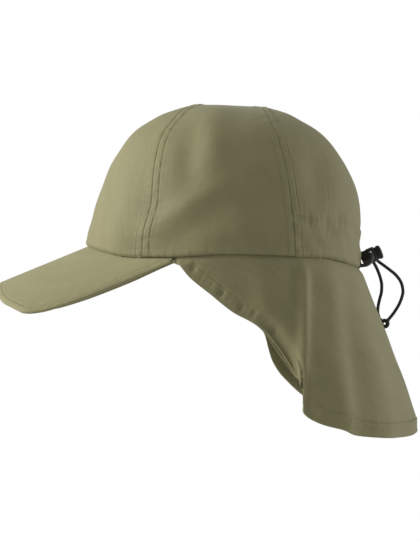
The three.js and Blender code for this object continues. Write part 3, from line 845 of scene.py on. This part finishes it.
# The middle panel's first and last rows follow the lower edge, and the rows near them bend to it
start = seam_line(front_seam, -1, panel_gap / 2, seam_steps)
end = seam_line(back_seam, 1, -panel_gap / 2, seam_steps)
toward, share = rows_between(start, end, beside_seam, 75)
side = np.linspace(-1, 1, seam_steps + 1)
for foot, sign in ((0, -1), (-1, 1)):
    straight = start[foot] * (1 - share[foot]) + end[foot] * share[foot]
    bent = edge_point(sign * (front_turn + (back_turn - front_turn) * share[foot, :, 0]))
    fade = np.maximum(0, 2 * side * sign - 1)[:, None, None]
    toward = toward + (bent - straight) * fade
crown_middle_panel = crown_panel("crown_middle_panel", "middle_panel", toward, 0)

# Topstitching of the crown
# A row of fine thread on each side of both seams and one along the casing's upper edge. Every
# stitch is a short round of thread that dips into the cloth at both ends.
stitch_pitch = 0.0026
stitch_length = 0.0021
stitch_radius = 0.00022
stitch_sink = 0.0001


def thread_finish():
    """Spun thread, a shade darker than the cloth."""
    material, shader, start = new_finish("olive_thread", Roughness=0.6, Sheen_Weight=0.15)
    place = start.make("TexCoord")
    fibre = start.make("TexNoise", Vector=place.output(3), Scale=4000, Detail=2)
    lay_on(
        shader,
        start,
        Base_Color=fibre.blend(colour(100, 96, 64), colour(136, 131, 94)),
        Normal=start.make("Bump", Height=fibre, Strength=0.4, Distance=0.00005),
    )
    return material


thread = thread_finish()


def stitches(name, lines, body="cap"):
    """Rows of stitches along lines on the cloth. Each line comes with its outward vectors."""
    sides = 6
    turns = 2 * np.pi * np.arange(sides) / sides
    # along the stitch, out of the cloth, and the thread's radius there
    profile = ((-0.36, -0.1, 0.7), (-0.15, 0.12, 1), (0.15, 0.12, 1), (0.36, -0.1, 0.7))
    shape = [(-0.5, -1.1, 0)]
    for along, out, radius in profile:
        shape += [(along, out + radius * math.cos(t), radius * math.sin(t)) for t in turns]
    shape = np.array([*shape, (0.5, -1.1, 0)]) * (stitch_length, stitch_radius, stitch_radius)
    last = len(shape) - 1
    faces = []
    for k in range(sides):
        after = (k + 1) % sides
        faces.append((0, 1 + after, 1 + k))
        for ring in range(len(profile) - 1):
            first = 1 + ring * sides
            faces.append((first + k, first + after, first + sides + after, first + sides + k))
        faces.append((last - sides + k, last - sides + after, last))
    corners = []
    for line, outward in lines:
        count = int(run(line)[-1] / stitch_pitch)
        middles = even_steps(line, 2 * count)[1::2]
        away = even_steps(line, 2 * count)
        along = unit(away[2::2] - away[:-2:2])
        out = unit(np.array([outward(p) for p in middles]))
        out = unit(out - along * (out * along).sum(axis=1, keepdims=True))
        side = np.cross(along, out)
        for place, a, b, c in zip(middles - out * stitch_sink, along, out, side):
            corners.append(place + shape @ np.array([a, b, c]))
    mesh = bpy.data.meshes.new(name)
    every = [tuple(n * len(shape) + k for k in face) for n in range(len(corners)) for face in faces]
    mesh.from_pydata(np.vstack(corners).tolist(), [], every)
    mesh.shade_smooth()
    mesh.materials.append(thread)
    piece = bpy.data.objects.new(name, mesh)
    bpy.context.scene.collection.objects.link(piece)
    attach(piece, body)
    return piece


def from_hub(place):
    return place - hub


for seam, facing, name in ((front_seam, -1, "front"), (back_seam, 1, "back")):
    rows = []
    for offset in (-row_offset, row_offset):
        row = seam_line(seam, facing, offset, seam_steps)[2:-2]
        rows.append((crown_face(row, cased=name == "back" and offset > 0), from_hub))
    stitches(f"{name}_seam_stitches", rows)

casing_turns = np.linspace(back_turn, 2 - back_turn, 200)
casing_row = on_crown(edge_point(casing_turns) + (0, 0, casing_height))
away, _, _ = near_line(casing_row, back_line)
casing_row = casing_row[away > 0.001]
casing_stitches = stitches("casing_stitches", [(crown_face(casing_row, cased=True), from_hub)])

# Peak
# A curved stiff board in a cover of the same cloth, sewn under the crown's front edge. Its cover is
# a lighter copy of that cloth, as painted light on the peak. One row of stitches runs round it close to the
# rim.
peak_reach = 0.064
peak_half_width = 0.078
peak_thickness = 0.0028
peak_arch = 0.1  # radius of the arch from side to side
peak_pitch = 0.42  # fall for each metre forward
peak_end_place = -0.038
peak_row = 0.0035  # from the rim to its stitches
peak_inset = 0.0016  # how far behind the crown's face it is sewn
peak_narrow = 0.012  # the row of stitches ends where the peak is narrower
peak_thinning = 0.7  # how much of the thickness is lost towards its ends
peak_groove = 0.0003
peak_pucker = 0.00012
peak_rim_roll = 0.0004
peak_outline = table(
    "width reach",
    (0, 1),
    (0.24, 0.995),
    (0.45, 0.975),
    (0.57, 0.94),
    (0.68, 0.885),
    (0.77, 0.8),
    (0.85, 0.71),
    (0.91, 0.62),
    (0.95, 0.48),
    (0.975, 0.3),
    (0.995, -0.1),
    (1, -0.55),
)

half = np.stack(
    [
        peak_outline["width"] * peak_half_width,
        np.where(
            peak_outline["reach"] < -0.5, peak_end_place, -crown_front - peak_outline["reach"] * peak_reach
        ),
        0 * peak_outline["width"],
    ],
    axis=1,
)
whole = np.vstack([half[:0:-1] * (-1, 1, 1), half])
peak_steps = 260
rim_line = even_steps(smooth_route(whole, 24), peak_steps)
rim_share = np.linspace(-1, 1, peak_steps + 1)
inset = 1 - peak_inset / crown_half_width
crown_side = edge_point(rim_share * turn_at(peak_end_place)) * (inset, inset, 1)
crown_side[:, 2] -= edge_gap
front_height = edge_point(0)[2] - edge_gap


def peak_height(place):
    arch = peak_arch - np.sqrt(peak_arch**2 - place[..., 0] ** 2)
    return front_height + peak_pitch * (place[..., 1] + crown_front) - arch


def peak_face(share):
    """The top of the peak at shares of the way from the crown to the rim."""
    place = crown_side[:, None] * (1 - share) + rim_line[:, None] * share
    lift = (crown_side[:, 2] - peak_height(crown_side))[:, None]
    fade = (1 - rim_share**6)[:, None]
    place[..., 2] = peak_height(place) + lift * (1 - share[..., 0] * fade)
    return place


def peak_relief(place):
    """The groove of the peak's stitches, the cover's soft rim and slight waves."""
    away, along, _ = near_line(place, rim_edge)
    relief = -peak_groove * bell(away - peak_row, 0.0005)
    wave = puckers(along, (0.0083, 0.0131, 0.0212), 0.9)
    relief += peak_pucker * wave * bell(away - peak_row, 0.003)
    return relief - peak_rim_roll * bell(away, 0.0009)


near_rim = np.array([0, 3, 7, 12, 18, 24, 29, 33, 37, 41, 46, 53, 63]) * 1e-4
rim_edge = peak_face(np.ones((1, 1, 1)))[:, 0]
width = np.linalg.norm(rim_edge - crown_side, axis=1)
share = row_shares(np.maximum(width, 1e-9), near_rim[:2], near_rim, 42)[..., None]
face = peak_face(share)
upward = np.zeros_like(face) + (0, 0, 1)
face = face + grid_normals(face, upward) * peak_relief(face)[..., None]
# Painted light: the peak's cloth is a lighter copy of the crown's, standing in for the light that falls on
# the peak
peak_cloth_painted_lighter = cloth_finish("olive_cloth_painted_lighter_for_peak", colour(139, 134, 96), colour(172, 167, 125))
thinner = 1 - peak_thinning * ramp(np.abs(rim_share), 0.8, 1)[:, None, None]
peak = sleeve("peak_cover", *cloth_rings(face, upward, peak_thickness * thinner, 7), peak_cloth_painted_lighter)
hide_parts("peak")

share = 1 - np.minimum(peak_row / width, 0.45)[:, None, None]
row = peak_face(share)[:, 0]
row[:, 2] += peak_relief(row)
row = row[width > peak_narrow]
stitches("peak_stitches", [(row, lambda place: (0, 0, 1))])

# Neck flap
# One sheet of the crown's cloth, sewn under its edge from cheek to cheek, that falls to the
# shoulders in soft folds. Its hem is turned once and stitched, and the left lower corner is
# folded in behind an upright fold.
flap_wall = 0.0011
flap_start = -0.0392  # where the flap's front corners are sewn, along Y
flap_half_width = 0.088
flap_reach = 0.145
flap_drop = 0.1295
flap_fullness = 0.001
hem_width = 0.009
# The free edge, from the right front corner round the back to the left one: the turn, and the
# place as shares of flap_half_width, flap_reach and flap_drop
hem_behind = (
    (0.09, 0.29, 0.955, 1),
    (0.18, 0.56, 0.865, 0.999),
    (0.26, 0.735, 0.765, 0.99),
    (0.33, 0.85, 0.65, 0.972),
    (0.39, 0.92, 0.57, 0.94),
)
hem_at_cheek = (
    (0.807, 0.91, 0.028, 0.299),
    (0.885, 0.91, -0.076, 0.206),
    (0.953, 0.91, -0.17, 0.122),
    (0.985, 0.905, -0.226, 0.055),
    (1, 0.9, -0.264, 0.024),
)


def mirrored(rows):
    """The same rows of the free edge on the cap's other side."""
    return [(-around, -side, back, drop) for around, side, back, drop in rows[::-1]]


flap_hem = table(
    "around side back drop",
    *mirrored(hem_at_cheek),
    (-0.729, -0.915, 0.132, 0.364),
    (-0.68, -0.93, 0.208, 0.442),
    (-0.64, -0.95, 0.234, 0.535),
    (-0.6, -0.965, 0.259, 0.619),
    (-0.56, -0.98, 0.3, 0.692),
    (-0.52, -0.99, 0.357, 0.757),
    (-0.48, -0.985, 0.417, 0.817),
    (-0.44, -0.965, 0.49, 0.885),
    *mirrored(hem_behind),
    (0, 0, 1, 0.985),
    *hem_behind,
    (0.44, 0.965, 0.468, 0.908),
    (0.475, 0.985, 0.402, 0.867),
    (0.5, 0.99, 0.38, 0.82),
    (0.52, 0.985, 0.366, 0.755),
    (0.54, 0.975, 0.362, 0.7),
    (0.565, 0.96, 0.345, 0.65),
    (0.6, 0.945, 0.298, 0.56),
    (0.667, 0.925, 0.21, 0.435),
    (0.729, 0.905, 0.132, 0.364),
    *hem_at_cheek,
)
# Upright folds: the turn, the half width as a share of it, and the rise at the top and at the
# hem as shares of flap_half_width
flap_folds = [
    dict(around=-0.75, wide=0.05, top=0, hem=0.02),
    dict(around=-0.42, wide=0.045, top=0.004, hem=0.028),
    dict(around=-0.24, wide=0.05, top=0, hem=-0.02),
    dict(around=0.14, wide=0.05, top=0, hem=-0.018),
    dict(around=0.31, wide=0.05, top=-0.004, hem=-0.022),
    dict(around=0.37, wide=0.07, top=0.024, hem=0.032),
    dict(around=0.505, wide=0.026, top=0.036, hem=0.014),
    dict(around=0.56, wide=0.035, top=-0.016, hem=-0.008),
    dict(around=0.68, wide=0.05, top=0.006, hem=0.022),
]
# Soft dents beside them: the turn, the share of the way down, half sizes and the depth
flap_dents = [
    dict(around=0.36, down=0.5, wide=0.07, tall=0.35, depth=0.0016),
    dict(around=0.2, down=0.62, wide=0.08, tall=0.3, depth=-0.0012),
]
tuck = 0.0055  # how far the cloth curls in above the turned corner
tuck_height = 0.017
tuck_lip = 0.0012
flap_lift = 0.0014  # how far the flap's top reaches up behind the crown's edge
top_sink = 0.0021  # how far its top lies in behind the crown's face,
corner_sink = 0.0016  # and how much more its front corners do
hem_rise = 0.0003
hem_groove = 0.0006
hem_pucker = 0.0002
hem_curl = 0.0026
hem_turn = 0.0006  # what the cloth turned under adds to the wall
front_knot = 0.0024
flap_crumple = 0.0005
strip_depth = 0.0044  # how much of the turned corner shows
fold_start = (0.44, 0.47)  # the turns between which the hem goes out of sight,
fold_end = (0.72, 0.78)  # and comes out again


def flap_face(around, down):
    """The flap's outer face, at turns from the back and shares of the way from its top to its
    hem, and the outward vectors there."""
    around = around[:, None]
    turn = np.sign(around + 1e-12) - around * (1 - turn_at(flap_start))
    top = edge_point(turn) - (0, 0, edge_gap)
    side, back, low = (smooth(flap_hem, "around", column, around) for column in ("side", "back", "drop"))
    hem = np.stack([side * flap_half_width, back * flap_reach, -low * flap_drop], axis=-1)
    outward = unit(top * (1, 1, 0))
    rise = flap_fullness * np.sin(np.pi * down) * np.minimum(1, (1 - np.abs(around)) * 4)
    for dent in flap_dents:
        near = bell(around - dent["around"], dent["wide"]) * bell(down - dent["down"], dent["tall"])
        rise = rise - dent["depth"] * near
    for fold in flap_folds:
        deep = (fold["top"] * (1 - down) + fold["hem"] * down) * np.minimum(1, down * 6)
        rise = rise + flap_half_width * deep * bell(around - fold["around"], fold["wide"])
    way = down[..., None]
    return top * (1 - way) + hem * way + outward * rise[..., None], outward + 0 * way


def flap_relief(place, around, down):
    """The hem's double cloth and its stitch line, puckers beside it, and a slight curl inwards."""
    away, along, _ = near_line(place, hem_edge)
    relief = hem_rise * (1 - ramp(away, hem_width, hem_width + 0.0008))
    front = ramp(np.abs(around), 0.55, 0.7)
    shown = 1 - ramp(around, *fold_start) * (1 - 0.4 * ramp(around, *fold_end))
    relief = relief * shown
    relief -= hem_groove * shown * bell(away - hem_width - 0.0006, 0.0006)
    tight = puckers(along, (0.0053, 0.0083, 0.0127, 0.0171), 1.9)
    relief += hem_pucker * tight * bell(away - 0.8 * hem_width, 0.006)
    knots = np.maximum(puckers(along, (0.0091, 0.0147, 0.0233), 0.8), 0)
    before_corner = 1 - ramp(np.abs(around), 0.9, 0.96)
    relief -= front_knot * front * before_corner * knots * bell(away - 0.0055, 0.003)
    relief -= hem_curl * (1 - ramp(away, 0, 1.1 * hem_width)) * (1 - front)
    tucked = ramp(around, 0.53, 0.585) * (1 - ramp(around, 0.66, 0.73))
    relief -= tuck * tucked * (1 - ramp(away, 0, tuck_height)) ** 1.5
    relief += tuck_lip * tucked * bell(away, 0.001)
    loose = crumple(place[..., 1], place[..., 2] - place[..., 0], 0.04)
    relief += flap_crumple * loose * ramp(away, 0, 0.02)
    return relief * ramp(down, 0, 0.12)


def flap_sunk(around, down):
    """How far the flap's top, and most of all its corners, lie in behind the crown's edge."""
    below = down * drop[:, None]
    return top_sink * bell(below, 0.0028) + corner_sink * ramp(np.abs(around), 0.97, 0.995)


flap_steps = 460
around = np.linspace(-1, 1, flap_steps + 1)
bottom, _ = flap_face(around, np.ones((1, 1)))
hem_edge = bottom[:, 0]
top, _ = flap_face(around, np.zeros((1, 1)))
drop = np.linalg.norm(hem_edge - top[:, 0], axis=1)
near_top = np.array([0, 8, 20]) * 1e-4
near_hem = np.array([0, 5, 10, 20, 35, 50, 65, 75, 81, 86, 90, 94, 99, 106, 116, 130]) * 1e-4
down = row_shares(drop, near_top, near_hem, 58)
face, outward = flap_face(around, down)
relief = flap_relief(face, around[:, None], down)[..., None]
face = face + grid_normals(face, outward) * relief - outward * flap_sunk(around[:, None], down)[..., None]
before_corner = (1 - ramp(np.abs(around), 0.96, 0.985))[:, None]
face[..., 2] += flap_lift * bell(down * drop[:, None], 0.0016) * before_corner
away, _, _ = near_line(face, hem_edge)
turned_in = hem_turn * (1 - ramp(away, hem_width - 0.0006, hem_width))
wall = (flap_wall + turned_in * ramp(down, 0, 0.12))[..., None]
neck_flap = sleeve("neck_flap_cloth", *cloth_rings(face, outward, wall, rim_points), cloth)
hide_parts("neck_flap")

# The turned corner shows below the fold as a narrow strip of the same cloth
strip = face[(around > 0.55) & (around < 0.72), -1]
share = np.linspace(0, 1, 9)
strip_drop = strip_depth * np.sin(np.pi * np.linspace(0, 1, len(strip)) ** 0.8)
strip = strip[:, None] - (0.0017, 0, 0) - (0.0009, 0.0004, 1) * (share * strip_drop[:, None])[..., None]
sideways = np.zeros_like(strip) + (1, 0, 0)
turned_corner = sleeve("flap_turned_corner", *cloth_rings(strip, sideways, flap_wall, rim_points), cloth)

down = 1 - np.minimum(hem_width / drop, 0.3)[:, None]
row, outward = flap_face(around, down)
row = row + outward * (flap_relief(row, around[:, None], down) - flap_sunk(around[:, None], down))[..., None]
seen = (np.abs(around) < 0.96) & ((around < fold_start[0]) | (around > fold_end[1]))
sewn = [row[seen & side, 0] for side in (around < 0.5, around > 0.5)]
row, outward = row[:, 0], outward[:, 0]
hem_tree = KDTree(len(row))
for number, place in enumerate(row):
    hem_tree.insert(place, number)
hem_tree.balance()
hem_lines = [(line, lambda place: outward[hem_tree.find(place)[1]]) for line in sewn]
hem_stitches = stitches("hem_stitches", hem_lines)

# Cord lock
# A small spring lock of black moulded plastic, clear of the crown's back. The body is a barrel
# with a cross hole for the two strands, and the plunger's domed button stands out of its mouth.
lock_tilt = math.radians(22)
lock_place = (0, 0.1015, -0.0024)
lock_radius = 0.0057
lock_wall = 0.0007
lock_length = 0.011
lock_floor = 0.0009
plunger_gap = 0.0003
plunger_travel = 0.0016
plunger_base = 0.0034
button_length = 0.005
button_radius = 0.0052
cord_gap = 0.0003
slot_width = 2 * cord_radius + 2 * cord_gap
slot_height = 2 * cord_radius + cord_gap + slot_width
slot_start = lock_floor + plunger_travel + cord_gap + plunger_base
lock_sides = 48


def plastic_finish():
    """Black moulded plastic with a fine spark-eroded grain, a little polished where it is handled."""
    material, shader, start = new_finish("black_moulded_plastic", Specular_IOR_Level=0.45)
    place = start.make("TexCoord").output(3)
    grain = start.make("TexNoise", Vector=place, Scale=5200, Detail=3)
    wear = start.make("TexNoise", Vector=place, Scale=240, Detail=2)
    lay_on(
        shader,
        start,
        Base_Color=wear.blend(colour(19, 18, 15), colour(34, 33, 28)),
        Roughness=wear * 0.2 + 0.34,
        Normal=start.make("Bump", Height=grain, Strength=0.3, Distance=0.00005),
    )
    return material


plastic = plastic_finish()


def turned(name, profile, body, node):
    """A round piece, extruded ring by ring along its axis from a small disc, and closed."""
    bpy.ops.object.select_all(action="DESELECT")
    (first, base), *rest = profile
    bpy.ops.mesh.primitive_circle_add(
        vertices=lock_sides, radius=first, fill_type="NGON", location=(0, 0, base)
    )
    bpy.ops.object.transform_apply(location=True)
    piece = bpy.context.object
    piece.name = piece.data.name = name
    bpy.ops.object.mode_set(mode="EDIT")
    radius, height = first, base
    for new_radius, new_height in rest:
        step = (0, 0, new_height - height)
        bpy.ops.mesh.extrude_region_move(TRANSFORM_OT_translate={"value": step})
        size = new_radius / radius
        bpy.ops.transform.resize(value=(size, size, 1), center_override=(0, 0, new_height))
        radius, height = new_radius, new_height
    bpy.ops.mesh.select_all(action="SELECT")
    bpy.ops.mesh.normals_make_consistent(inside=False)
    bpy.ops.object.mode_set(mode="OBJECT")
    piece.data.materials.append(plastic)
    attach(piece, body)
    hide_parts(node)
    return piece


def cut_slot(piece, start, end):
    """Cuts a slot right through a piece, across its axis."""
    cut_box(piece, (0, 0, (start + end) / 2), (4 * lock_radius, slot_height, end - start))


def seat(piece):
    """Turns a piece from its own axis to the lock's, and keeps its place in its mesh."""
    soft = piece.modifiers.new("soft_edges", "BEVEL")
    soft.width = 0.00018
    soft.segments = 2
    soft.angle_limit = math.radians(40)
    bpy.ops.object.select_all(action="DESELECT")
    piece.select_set(True)
    bpy.context.view_layer.objects.active = piece
    bpy.ops.object.modifier_apply(modifier=soft.name)
    bpy.ops.object.shade_smooth_by_angle(angle=math.radians(35))
    piece.rotation_euler = (lock_tilt - math.radians(90), 0, 0)
    piece.location = lock_place
    bpy.ops.object.transform_apply(location=True, rotation=True, scale=True)


bore = lock_radius - lock_wall
lock_body = turned(
    "cord_lock_barrel",
    [
        (0.6 * lock_radius, 0),
        (0.8 * lock_radius, 0.03 * lock_length),
        (0.92 * lock_radius, 0.1 * lock_length),
        (0.94 * lock_radius, 0.2 * lock_length),
        (0.92 * lock_radius, 0.32 * lock_length),
        (0.93 * lock_radius, 0.42 * lock_length),
        (lock_radius, 0.5 * lock_length),
        (lock_radius, 0.95 * lock_length),
        (lock_radius - 0.45 * lock_wall, lock_length),
        (bore, lock_length),
        (bore, lock_floor),
    ],
    "cap",
    "cord_lock_body",
)
cut_slot(lock_body, slot_start, slot_start + slot_width)
seat(lock_body)

plunger_radius = bore - plunger_gap
plunger_top = lock_length + button_length
lock_plunger = turned(
    "cord_lock_button",
    [
        (plunger_radius, slot_start - plunger_base),
        (plunger_radius, lock_length + plunger_travel + plunger_gap),
        (button_radius, lock_length + plunger_travel + plunger_gap),
        (button_radius, plunger_top - 0.3 * button_length),
        (0.95 * button_radius, plunger_top - 0.18 * button_length),
        (0.82 * button_radius, plunger_top - 0.08 * button_length),
        (0.55 * button_radius, plunger_top - 0.02 * button_length),
        (0.25 * button_radius, plunger_top),
    ],
    "plunger",
    "cord_lock_plunger",
)
cut_slot(lock_plunger, slot_start, slot_start + slot_width + plunger_travel)
seat(lock_plunger)
